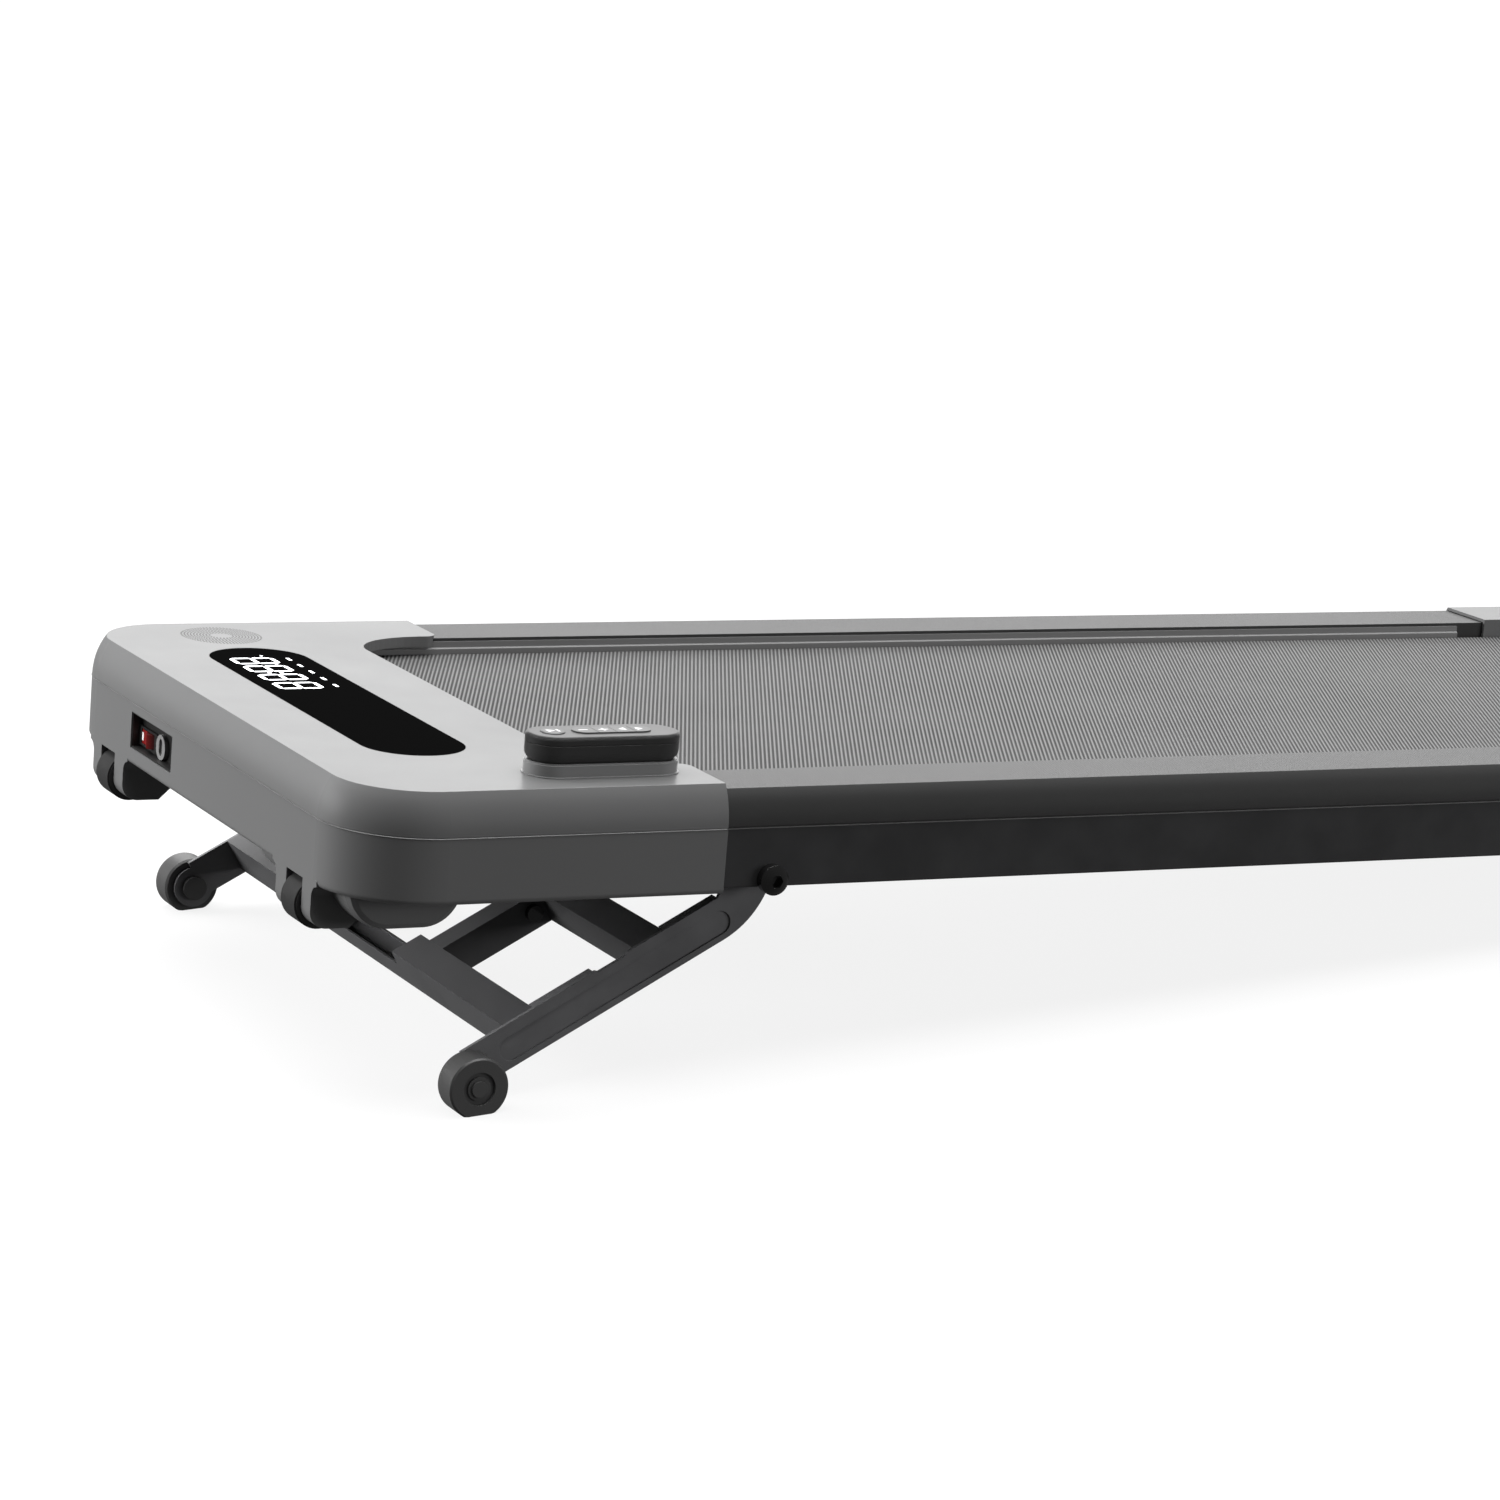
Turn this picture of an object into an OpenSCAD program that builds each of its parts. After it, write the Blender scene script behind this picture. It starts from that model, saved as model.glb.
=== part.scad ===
// Walking pad with a folding front leg that tilts the deck.
// Working frame: x runs back from the front face, y runs to the right of a
// person on the deck, z is square to the deck with zero at the hood seam.
// Everything is then tilted by the incline and set on the floor.

/* [Deck and frame] */
// Width beside the belt, from its edge to the outer face
side_w = 65; // [60:0.5:75]
// Full length of the machine
body_len = 1290; // [1200:5:1500]
// Height of a side beam
beam_h = 41.1; // [38:0.5:50]
// Wall of the rolled steel beams
beam_wall = 2; // [1.5:0.1:2.5]
// Width of the walking belt
belt_w = 430; // [400:1:440]
// Thickness of the walking belt
belt_t = 1.8; // [1.4:0.1:2.2]
// Height of the belt face over the seam
belt_top = 14; // [13:0.5:16]
// Radius of both rollers
roller_r = 19; // [17:0.5:20]
// Thickness of the deck board
deck_t = 18; // [15:0.5:18]

/* [Hood] */
// Length of the hood along the side
hood_len = 265; // [250:1:290]
// Height of the hood top over the seam
hood_top_z = 28.6; // [27:0.2:32]
// Depth of the skirt under the seam
skirt_h = 45; // [42:0.5:50]
// Radius of the front corners
corner_r = 66; // [60:1:75]
// Radius of the rounding of the top edge
edge_r = 50; // [45:1:60]
// Wall of the moulded covers
shell_t = 2.5; // [2:0.1:3]
// Front edge of the belt opening
opening_x = 189.4; // [185:0.5:195]
// Half width between the two arms of the hood
opening_half = 212; // [208:0.5:215]

/* [Leg] */
// Distance of the leg pivot from the front
pivot_x = 300; // [290:1:310]
// Height of the leg pivot
pivot_z = -35.5; // [-37:0.5:-33]
// Slope of the deployed arms under the deck line
leg_slope = 28.4; // [20:0.1:30]
// Distance from the pivot to the foot pin along the arm
foot_u = 240.6; // [235:0.2:245]
// Offset of the foot pin from the pivot across the arm
foot_v = -21.8; // [-23:0.1:-17]
// Width of an arm
arm_w = 29; // [26:0.5:31]
// Thickness of the arm plate
arm_t = 3; // [2.5:0.1:4]
// Radius of a foot disc
foot_r = 20.8; // [19:0.1:22]
// Distance of the foot flat under its pin
foot_flat = 17.8; // [16:0.1:18.5]
// Reach of the rear feet under the seam
rear_foot_z = 84.4; // [80:0.2:90]

/* [Wheels and remote] */
// Radius of a transport wheel
wheel_r = 17.4; // [16:0.1:18]
// Width of a transport wheel
wheel_w = 26.8; // [24:0.2:27]
// Length of the remote
remote_len = 109; // [100:1:115]
// Width of the remote
remote_w = 38; // [34:0.5:40]

/* [Hidden] */
$fn = 96;
// Half of the full width
body_w = belt_w + 2 * side_w;
half_w = body_w / 2;
// Gap that keeps two parts from rubbing
gap = 0.5;
// Fine clearance of a running fit on its radius
run_fit = 0.05;
// Small overlap that joins shapes of one piece
bite = 0.2;
// Outer face of a beam web
beam_y = half_w - 1;
// Step of a beam in from the side, and the deck board between the steps
beam_step = 28;
deck_w = 2 * (half_w - beam_step - 12);
// Foot pin in the working frame, with the arm axis pointing down and forward
foot_x = pivot_x - foot_u * cos(leg_slope) - foot_v * sin(leg_slope);
foot_z = pivot_z - foot_u * sin(leg_slope) + foot_v * cos(leg_slope);
// Rear feet along the deck
rear_foot_x = body_len - 40;
// Radius of the rocker shaped sole of a rear foot
rear_sole_r = 40;
// Deck tilt, so that the foot flats and the rear soles share one floor
sole_flat = 0.5;
sole_z = rear_sole_r - rear_foot_z;
sole_run = rear_foot_x - foot_x;
sole_drop = foot_z - sole_z;
sole_rise = foot_flat - rear_sole_r + sole_flat;
incline = asin(sole_rise / sqrt(pow(sole_run, 2) + pow(sole_drop, 2))) - atan2(sole_drop, sole_run);
// Height of the floor under the seam once tilted
floor_z = sole_z * cos(incline) - rear_foot_x * sin(incline) - rear_sole_r + sole_flat;
// Top of the rear end caps
cap_top = 28.3;
// Rollers
roller_half = belt_w / 2 + 3;
roller_z = belt_top - belt_t - roller_r - run_fit;
front_roller_x = 160;
rear_roller_x = body_len - 35;
// Tension bolts, inside the guides of the rear axle
tension_y = deck_w / 2 - 6;
// Underside of the deck board
deck_z = belt_top - belt_t - deck_t;
// Rail cover
rail_top = 25.3;
rail_round = 44;
rail_in = belt_w / 2 + 5.5;
rail_wall = 2.5;
cap_len = 68;
cap_x = body_len - cap_len;
// Floor plate inside the skirt, high enough for the folded leg
pan_z = -36;
pan_t = 2;
// Arms of the leg
arm_y = half_w - 23;
arm_in = arm_y - arm_t;
pivot_bolt_r = 6;
head_r = 10.25;
// Display
lens_x = [61, 134];
lens_y = [-171, 181];
lens_r = 36;
lens_t = 1.6;
// Recess for the switch and the mains inlet
recess_y = [55, 138];
recess_z = [-33, -7];
recess_d = 9;
rocker_y = 118.5;
rocker_z = -23;
rocker_size = [25, 10];
bezel_size = [36, 14];
grommet_y = 90;
grommet_z = -22.6;
grommet_r = 9;
// Wheels and pods
wheel_x = 13.5;
wheel_z = -62.5;
wheel_y = 182.75;
slot_w = 28.3;
// Ends of the tilted outline along the floor
front_x = wheel_x * cos(incline) + wheel_z * sin(incline) - wheel_r;
rear_x = body_len * cos(incline) + cap_top * sin(incline);
pod_left = [151, 213];
pod_right = [150, 213];
pod_z = -75;
axle_r = 3;
// Motor
motor_x = 66;
motor_z = -24;
motor_r = 34;
motor_y = [-218, -84];
shaft_r = 5;
pulley_y = [-240, -225];
motor_pulley_r = 10;
roller_pulley_r = 21;
belt2_t = 1.2;
// Belly round the motor
belly_y = [-247, -76];
belly_z = -69.5;
// Actuator between the floor of the hood and the leg
base_x = 30;
base_z = -24;
lug_u = 118;
slot_run = 5.2;
slot_lean = 13;
slot_side = 0.26;
slot_fit = 0.5;
lug_v = -10;
lug_x = pivot_x - lug_u * cos(leg_slope) - lug_v * sin(leg_slope);
lug_z = pivot_z - lug_u * sin(leg_slope) + lug_v * cos(leg_slope);
act_len = sqrt(pow(lug_x - base_x, 2) + pow(lug_z - base_z, 2));
act_tilt = atan2(base_z - lug_z, lug_x - base_x);
act_pin_r = 4;
// Leg tubes as distances along the arm
tube = 24;
tube_wall = 2;
lower_u = 178.6;
upper_u = 75.5;
tube_v = -3;
strut_y = [81.5, 104];
// Remote and its cradle
remote_x = 193.7;
remote_y = 52.5 - half_w;
cradle_top = 38;
remote_top = 56;
remote_seam = 50;
remote_floor = hood_top_z + 3;
face_t = 1.6;

// Tilts the working frame and sets it on the floor, centred along x
module placed() {
    translate([-(front_x + rear_x) / 2, 0, -floor_z]) rotate([0, incline, 0]) children();
}
// Copies a piece to the other side
module both_sides() {
    children();
    mirror([0, 1, 0]) children();
}
// Draws a y, z outline along x between two stations
module along_x(x0, x1) {
    translate([x0, 0, 0]) rotate([90, 0, 90]) linear_extrude(x1 - x0) children();
}
// Draws an x, z outline along y between two stations
module along_y(y0, y1) {
    translate([0, y1, 0]) rotate([90, 0, 0]) linear_extrude(y1 - y0) children();
}
// Box between two corners
module block(a, b) {
    translate(a) cube(b - a);
}
// Rod along y between two stations
module rod_y(x, z, r, y0, y1) {
    translate([x, y0, z]) rotate([-90, 0, 0]) cylinder(r = r, h = y1 - y0);
}
// Rod along x between two stations
module rod_x(y, z, r, x0, x1) {
    translate([x0, y, z]) rotate([0, 90, 0]) cylinder(r = r, h = x1 - x0);
}
// Bar with round ends in plan, from one end centre to the other along x
module stadium(x0, x1, r) {
    translate([x0, 0]) circle(r);
    translate([x1, 0]) circle(r);
    translate([x0, -r]) square([x1 - x0, 2 * r]);
}

// Rolled beam with a stepped top flange, a web and a short foot flange
module beam_outline() {
    edge = 1.2;
    web_in = beam_y - beam_wall;
    step_out = half_w - beam_step;
    ledge_in = half_w - 54;
    ledge_z = deck_z - 4.2;
    difference() {
        union() {
            translate([web_in, -beam_h]) square([beam_wall, beam_h]);
            translate([step_out - beam_wall, -beam_wall]) square([beam_y - step_out + beam_wall, beam_wall]);
            translate([step_out - beam_wall, ledge_z - beam_wall]) square([beam_wall, beam_wall - ledge_z]);
            translate([ledge_in, ledge_z - beam_wall]) square([step_out - ledge_in, beam_wall]);
            translate([beam_y - 19, -beam_h]) square([19, beam_wall]);
        }
        translate([beam_y, -beam_h]) corner_cut(edge, 1);
        translate([beam_y, 0]) corner_cut(edge, -1);
    }
}
// Shape that rounds an outer corner when it is cut away
module corner_cut(r, side) {
    difference() {
        translate([-r, side > 0 ? -0.1 : -r]) square([r + 0.1, r + 0.1]);
        translate([-r, side * r]) circle(r);
    }
}
module side_beam() {
    end_x = body_len - 7;
    guide_y = deck_w / 2;
    difference() {
        union() {
            difference() {
                along_x(hood_len, end_x) beam_outline();
                block([rear_roller_x - 19, half_w - 60, deck_z - 8], [end_x + 1, half_w - 30.1, -1]);
            }
            block([end_x - 4, guide_y - 12, -beam_h + beam_wall], [end_x, beam_y - beam_wall, -beam_wall]);
            block([rear_roller_x - 19, guide_y, -beam_h + beam_wall], [end_x - 4, guide_y + 3, 5]);
            block([rear_roller_x - 19, guide_y, -beam_h], [end_x, beam_y - 18, -beam_h + beam_wall]);
        }
        along_y(guide_y - 1, guide_y + 4) translate([0, roller_z]) stadium(rear_roller_x - 6, rear_roller_x + 6, 6);
        rod_x(tension_y, roller_z, 4.2, end_x - 5, end_x + 1);
        rod_y(pivot_x, pivot_z, pivot_bolt_r, beam_y - 3, beam_y + 1);
        block([pivot_x - 20, beam_y - 20, -beam_h - 1], [pivot_x + 20, beam_y - beam_wall, -beam_h + beam_wall + 1]);
    }
}
module side_beam_left() { color("#2a2b2d") placed() mirror([0, 1, 0]) side_beam(); }
module side_beam_right() { color("#2a2b2d") placed() side_beam(); }

// Welded front frame: two side plates, a floor plate and a deck rest
module front_frame() {
    plate_out = beam_y - beam_wall;
    plate_in = plate_out - 3;
    x0 = corner_r + 4;
    color("#1d1e20") placed() difference() {
        union() {
            both_sides() {
                block([x0, plate_in, pan_z + pan_t], [pivot_x - 15, plate_out, -3]);
                block([front_roller_x - 26, plate_in, -5], [front_roller_x + 26, plate_out, 7]);
            }
            block([x0, -plate_in, pan_z + pan_t], [hood_len - 6, plate_in, pan_z + 2 * pan_t]);
            block([8, -68, pan_z + pan_t], [x0, 46, pan_z + 2 * pan_t]);
            block([192, -plate_in, deck_z - 12], [216, plate_in, deck_z]);
        }
        block([x0 - 1, belly_y[0] + 2, pan_z], [116, belly_y[1] + 3, pan_z + 5]);
        block([15, -17, pan_z], [238, 17, pan_z + 5]);
        rod_y(front_roller_x, roller_z, 6, -plate_out - 1, plate_out + 1);
    }
}
// Flat tubes across the frame under the returning belt
module cross_members() {
    z0 = -beam_h + beam_wall;
    reach = beam_y - beam_wall;
    pitch = (body_len - 480) / 3;
    color("#26272a") placed() for (x = [360:pitch:361 + 3 * pitch]) difference() {
        block([x, -reach, z0], [x + 50, reach, z0 + 10]);
        block([x + 2, -reach - 1, z0 + 2], [x + 48, reach + 1, z0 + 8]);
    }
}
module deck_board() {
    x0 = front_roller_x + 25;
    x1 = rear_roller_x - 25;
    c = 3;
    z1 = belt_top - belt_t;
    color("#3a2f27") placed() along_y(-deck_w / 2, deck_w / 2)
        polygon([[x0, deck_z], [x1, deck_z], [x1, z1 - c], [x1 - c, z1], [x0 + c, z1], [x0, z1 - c]]);
}
module deck_cushions() {
    pitch = (body_len - 450) / 4;
    color("#202020") placed() both_sides() for (x = [335:pitch:336 + 4 * pitch])
        block([x, half_w - 52, deck_z - 4.2], [x + 40, half_w - 41, deck_z]);
}

// Rail cover: flat top, round shoulder and an inner leg that stands on the deck
module rail_outline(top, round_r, inner, wall) {
    c = half_w - round_r;
    difference() {
        intersection() {
            union() {
                translate([c, 0]) circle(round_r);
                translate([inner, 0]) square([c - inner, top]);
            }
            translate([inner, 0]) square([half_w, top]);
        }
        intersection() {
            union() {
                translate([c, 0]) circle(round_r - wall);
                translate([inner, -1]) square([c - inner, top]);
            }
            translate([inner + wall, -1]) square([half_w, top - wall + 1]);
        }
        translate([inner - 1, -1]) square([deck_w / 2 - inner + 2, belt_top - belt_t + 1]);
    }
}
module rail_cover() {
    along_x(hood_len, cap_x) difference() {
        rail_outline(rail_top, rail_round, rail_in, rail_wall);
        translate([half_w - 1, -1]) square([2, 1.9]);
    }
}
module rail_cover_left() { color("#4b4c4e") placed() mirror([0, 1, 0]) rail_cover(); }
module rail_cover_right() { color("#4b4c4e") placed() rail_cover(); }
// Light strips along the inner foot of both rails
module rail_trims() {
    z0 = belt_top - belt_t;
    color("#9b9c9e") placed() both_sides() along_x(opening_x + 4, body_len - 94)
        polygon([[rail_in, z0], [rail_in, 22.9], [rail_in - 1, 22.9], [rail_in - 1, 18.4],
            [rail_in - 2.4, 17.4], [rail_in - 2.4, z0]]);
}
// Moulded end cap over the rear of a rail and a beam
module rear_end_cap() {
    inner = rail_in - 3.1;
    r = 22;
    difference() {
        intersection() {
            union() {
                along_x(cap_x, body_len) rail_outline(cap_top, edge_r, inner, rail_wall);
                along_x(body_len - shell_t, body_len) difference() {
                    intersection() {
                        union() {
                            translate([half_w - edge_r, 0]) circle(edge_r);
                            translate([inner, -beam_h]) square([half_w - inner, beam_h]);
                            translate([inner, 0]) square([half_w - edge_r - inner, cap_top]);
                        }
                        translate([inner, -beam_h]) square([half_w - inner, beam_h + cap_top]);
                    }
                }
            }
            translate([0, 0, -60]) linear_extrude(120) {
                translate([body_len - r, half_w - r]) circle(r);
                translate([cap_x, inner - 10]) square([cap_len - r, half_w - inner + 10]);
                translate([body_len - r - 1, inner - 10]) square([r + 1, half_w - inner + 10 - r]);
            }
        }
        rod_x(tension_y, roller_z, 9, body_len - 5, body_len + 1);
        translate([cap_x - 1, half_w - 1, -1]) cube([80, 2, 1.9]);
    }
}
module rear_end_cap_left() { color("#b9bbbd") placed() mirror([0, 1, 0]) rear_end_cap(); }
module rear_end_cap_right() { color("#b9bbbd") placed() rear_end_cap(); }

// Endless walking belt round both rollers
module running_belt() {
    r_in = roller_r + run_fit;
    r_out = r_in + belt_t;
    color("#55575a") placed() along_y(-belt_w / 2, belt_w / 2) translate([0, roller_z]) difference() {
        stadium(front_roller_x, rear_roller_x, r_out);
        stadium(front_roller_x, rear_roller_x, r_in);
    }
}
// Front roller with the driven pulley on its left end
module front_roller() {
    color("#a8abad") placed() difference() {
        union() {
            rod_y(front_roller_x, roller_z, roller_r, -roller_half, roller_half);
            rod_y(front_roller_x, roller_z, 13, pulley_y[1] - bite, bite - roller_half);
            rod_y(front_roller_x, roller_z, roller_pulley_r, pulley_y[0], pulley_y[1]);
            rod_y(front_roller_x, roller_z, roller_pulley_r + 2, pulley_y[0] - 2, pulley_y[0]);
        }
        rod_y(front_roller_x, roller_z, 6 + run_fit, -250, 250);
    }
}
module front_roller_axle() {
    reach = beam_y - beam_wall;
    color("#8d9092") placed() rod_y(front_roller_x, roller_z, 6, -reach, reach);
}
module rear_roller() {
    color("#a8abad") placed() difference() {
        rod_y(rear_roller_x, roller_z, roller_r, -roller_half, roller_half);
        rod_y(rear_roller_x, roller_z, 6 + run_fit, -250, 250);
    }
}
module rear_roller_axle() {
    color("#8d9092") placed() difference() {
        rod_y(rear_roller_x, roller_z, 6, -deck_w / 2 - 8, deck_w / 2 + 8);
        both_sides() rod_x(tension_y, roller_z, 4, rear_roller_x - 7, rear_roller_x + 7);
    }
}
// Bolts that pull the rear roller back and keep the belt tight
module belt_tension_bolts() {
    end_x = body_len - 7;
    color("#b0b2b4") placed() both_sides() {
        rod_x(tension_y, roller_z, 4, rear_roller_x - 5, end_x + 1);
        translate([end_x, tension_y, roller_z]) rotate([0, 90, 0]) cylinder(r = 7.5, h = 4, $fn = 6);
    }
}

// Runs a wall outline round the front of the hood: outline x points outward
module round_front() {
    side = half_w - corner_r;
    translate([corner_r, -side, 0]) rotate([90, 0, 180]) linear_extrude(2 * side) children();
    both_sides() {
        translate([corner_r, side, 0]) rotate([0, 0, 90]) rotate_extrude(angle = 90) children();
        translate([0, side, 0]) along_x(corner_r, hood_len) children();
    }
}
// Section of the rounded upper edge
module shoulder(r, top) {
    intersection() {
        union() {
            translate([corner_r - edge_r, 0]) circle(r);
            square([corner_r - edge_r, top]);
        }
        square([corner_r, top]);
    }
}
// Outline of the opening for the belt, with swept inner corners
module opening_plan(grow) {
    ex = hood_len - 15;
    ey = opening_half - 45;
    arc = [for (t = [90:6:180]) [ex + (ex - opening_x + grow) * cos(t), ey + (45 + grow) * sin(t)]];
    back = [for (i = [len(arc) - 1:-1:0]) [arc[i][0], -arc[i][1]]];
    polygon(concat([[hood_len + 1, opening_half + grow]], arc, back, [[hood_len + 1, -opening_half - grow]]));
}
// Plan of the display lens, a bar with round ends across the hood
module lens_plan(grow) {
    r = (lens_x[1] - lens_x[0]) / 2;
    translate([lens_x[0] + r, 0]) rotate(90) stadium(lens_y[0] + r, lens_y[1] - r, r + grow);
}
module hood_top() {
    under = hood_top_z - shell_t;
    lip = 8;
    notch_r = 9;
    color("#c3c5c7") placed() difference() {
        union() {
            round_front() difference() {
                shoulder(edge_r, hood_top_z);
                translate([-1, -1]) square([1, 1]);
                shoulder(edge_r - shell_t, under);
            }
            difference() {
                block([corner_r - bite, corner_r - half_w - bite, under], [hood_len, half_w - corner_r + bite, hood_top_z]);
                translate([0, 0, under - 1]) linear_extrude(shell_t + 2) opening_plan(0);
            }
            translate([0, 0, hood_top_z - lip]) linear_extrude(lip) intersection() {
                difference() {
                    opening_plan(shell_t);
                    opening_plan(0);
                }
                translate([0, -half_w]) square([hood_len, body_w]);
            }
            translate([0, 0, under - 2]) linear_extrude(2 + bite) lens_plan(4);
        }
        translate([0, 0, hood_top_z - lens_t]) linear_extrude(lens_t + 1) lens_plan(0.15);
        block([69, 34, under - 3], [126, 156, hood_top_z]);
        both_sides() translate([hood_len - notch_r, opening_half + notch_r, hood_top_z - lip - 1])
            linear_extrude(lip + 2) difference() {
                translate([0, -notch_r - 1]) square([notch_r + 1, notch_r + 1]);
                circle(notch_r);
            }
    }
}
// Side view of a wheel pod under the skirt
module pod_side() {
    r = 12;
    difference() {
        polygon([[0, pan_z], [0, pod_z], [28, pod_z], [46, -58], [50, pan_z]]);
        translate([r, pod_z + r]) difference() {
            translate([-r - 1, -r - 1]) square([r + 1, r + 1]);
            circle(r);
        }
    }
}
// Pod with a wheel slot and hollow fillets where it meets the skirt
module pod(y0, y1) {
    along_y(y0, y1) pod_side();
    for (e = [[y0, -1], [y1, 1]]) intersection() {
        translate([0, e[0], -skirt_h]) along_x(0, 44) difference() {
            translate([e[1] > 0 ? -1 : -8, -8]) square([9, 12]);
            translate([e[1] * 8, -8]) circle(8);
        }
        block([0, y0 - 20, -skirt_h - 8], [44, y1 + 20, -skirt_h + 4]);
    }
}
// Cup under the motor
module belly(in) {
    y0 = belly_y[0] + in;
    y1 = belly_y[1] - in;
    hull() for (e = [[0, 8], [2.4, 2.4], [8, 0]]) {
        rod_y(42, belly_z + 30, 30 - in - e[0] * 0.6, y0 + e[1], y1 - e[1]);
        rod_y(66, belly_z + 28, 28 - in - e[0] * 0.6, y0 + e[1], y1 - e[1]);
    }
}
module hood_base() {
    side_in = half_w - shell_t;
    color("#77797b") placed() difference() {
        union() {
            round_front() difference() {
                union() {
                    translate([corner_r - shell_t, -skirt_h]) square([shell_t, skirt_h]);
                    translate([corner_r - 5, -skirt_h]) square([5, 4]);
                    translate([0, pan_z]) square([corner_r, pan_t]);
                }
                translate([corner_r, -skirt_h]) corner_cut(3.5, 1);
                translate([corner_r, 0]) corner_cut(0.6, -1);
            }
            block([corner_r - bite, corner_r - half_w - bite, pan_z], [hood_len, half_w - corner_r + bite, pan_z + pan_t]);
            block([hood_len - shell_t, -deck_w / 2, pan_z], [hood_len, deck_w / 2, -30]);
            difference() {
                belly(0);
                block([-20, -300, pan_z + pan_t], [130, 0, 20]);
            }
            pod(-pod_left[1], -pod_left[0]);
            pod(pod_right[0], pod_right[1]);
            block([0, recess_y[0] - 2, pan_z], [recess_d + 2.5, recess_y[1] + 2, recess_z[1] + 2]);
        }
        difference() {
            union() {
                belly(2);
                block([14, belly_y[0] + 8, pan_z - 3], [92, belly_y[1] - 8, pan_z + 5]);
            }
            block([-5, -pod_left[1], -80], [46, -pod_left[0], 0]);
            block([-5, -290, -80], [shell_t, 0, 0]);
        }
        rod_y(motor_x, motor_z, motor_r + 1.8, motor_y[0] - 2, motor_y[1] + 2);
        block([90, pulley_y[0] - 3, pan_z - 1], [118, pulley_y[1] + 3, pan_z + 5]);
        block([16, -16.5, pan_z - 1], [236, 16.5, pan_z + 5]);
        for (s = [-1, 1]) {
            block([-1, s * wheel_y - slot_w / 2, -90], [33.2, s * wheel_y + slot_w / 2, -44.2]);
            rod_y(wheel_x, wheel_z, axle_r, s * wheel_y - slot_w / 2 - 9, s * wheel_y + slot_w / 2 + 9);
        }
        block([-1, recess_y[0], recess_z[0]], [recess_d, recess_y[1], recess_z[1]]);
        block([recess_d - 1, rocker_y - 16.6, rocker_z - 6.1], [recess_d + 3, rocker_y + 16.6, rocker_z + 6.1]);
        rod_x(grommet_y, grommet_z, 7, recess_d - 1, recess_d + 3);
    }
}
module display_lens() {
    color("#060607") placed() translate([0, 0, hood_top_z - lens_t]) linear_extrude(lens_t) lens_plan(0);
}
// Circuit board with the number tubes that shine through the lens
module display_board() {
    top = hood_top_z - lens_t;
    under = hood_top_z - shell_t - 2;
    color("#1f5a3a") placed() {
        block([64, 28, under - 7.6], [131, 162, under - 6]);
        block([71, 37, under - 6], [124, 153, top]);
        for (x = [66, 129]) for (y = [31, 159]) translate([x, y, under - 6]) cylinder(r = 2, h = 6);
    }
}
module speaker() {
    under = hood_top_z - shell_t;
    color("#17181a") placed() translate([98, half_w - 54.5, 0]) {
        translate([0, 0, under - 3]) cylinder(r = 30, h = 3);
        translate([0, 0, under - 9]) cylinder(r = 24, h = 6 + bite);
        translate([0, 0, under - 15]) cylinder(r = 14, h = 6 + bite);
    }
}
// Black tray in the front recess
module switch_panel() {
    w = 1.2;
    color("#0c0c0d") placed() difference() {
        block([0.8, recess_y[0], recess_z[0]], [recess_d, recess_y[1], recess_z[1]]);
        block([0, recess_y[0] + w, recess_z[0] + w], [recess_d - w, recess_y[1] - w, recess_z[1] - w]);
        block([0, rocker_y - 16.6, rocker_z - 6.1], [20, rocker_y + 16.6, rocker_z + 6.1]);
        rod_x(grommet_y, grommet_z, 7, 0, 20);
    }
}
module power_switch_housing() {
    front = recess_d - 1.2;
    color("#111113") placed() difference() {
        union() {
            block([front - 2, rocker_y - bezel_size[0] / 2, rocker_z - bezel_size[1] / 2],
                [front, rocker_y + bezel_size[0] / 2, rocker_z + bezel_size[1] / 2]);
            block([front - bite, rocker_y - 16.6, rocker_z - 6.1], [32, rocker_y + 16.6, rocker_z + 6.1]);
            for (y = [-9, 0, 9]) block([32 - bite, rocker_y + y - 2.4, rocker_z - 0.4], [40, rocker_y + y + 2.4, rocker_z + 0.4]);
        }
        translate([0, 0, rocker_z - 5.3]) linear_extrude(10.6) {
            translate([12, rocker_y]) circle(13);
            translate([0, rocker_y - 13]) square([12, 26]);
        }
        rod_z(12, rocker_y, rocker_z - 6, rocker_z + 6, 1.5);
    }
}
// Rod along z between two heights
module rod_z(x, y, z0, z1, r) {
    translate([x, y, z0]) cylinder(r = r, h = z1 - z0);
}
// Rocker in its off position, on a cross pin
module power_switch_rocker() {
    tip = 12;
    color("#5c0f12") placed() translate([12, rocker_y, 0]) rotate([0, 0, -tip]) {
        translate([0, 0, rocker_z - 5]) linear_extrude(10) intersection() {
            circle(12.5);
            union() {
                polygon([[-6.4, 0], [-9.1, 12.6], [4, 12.6], [6, 0]]);
                polygon([[-6.4, 0], [-9.1, -12.6], [4, -12.6], [6, 0]]);
            }
        }
        rod_z(0, 0, rocker_z - 6, rocker_z + 6, 1.5 - run_fit);
    }
}
// Round gland for the mains cord with an upright slot
module cord_grommet() {
    front = recess_d - 1.2;
    color("#8f9194") placed() difference() {
        union() {
            rod_x(grommet_y, grommet_z, grommet_r, front - 3, front);
            rod_x(grommet_y, grommet_z, 7, front - bite, recess_d + 8);
        }
        along_x(0, recess_d + 10) translate([grommet_y, grommet_z]) rotate(90) stadium(-3, 3, 3);
    }
}

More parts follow.
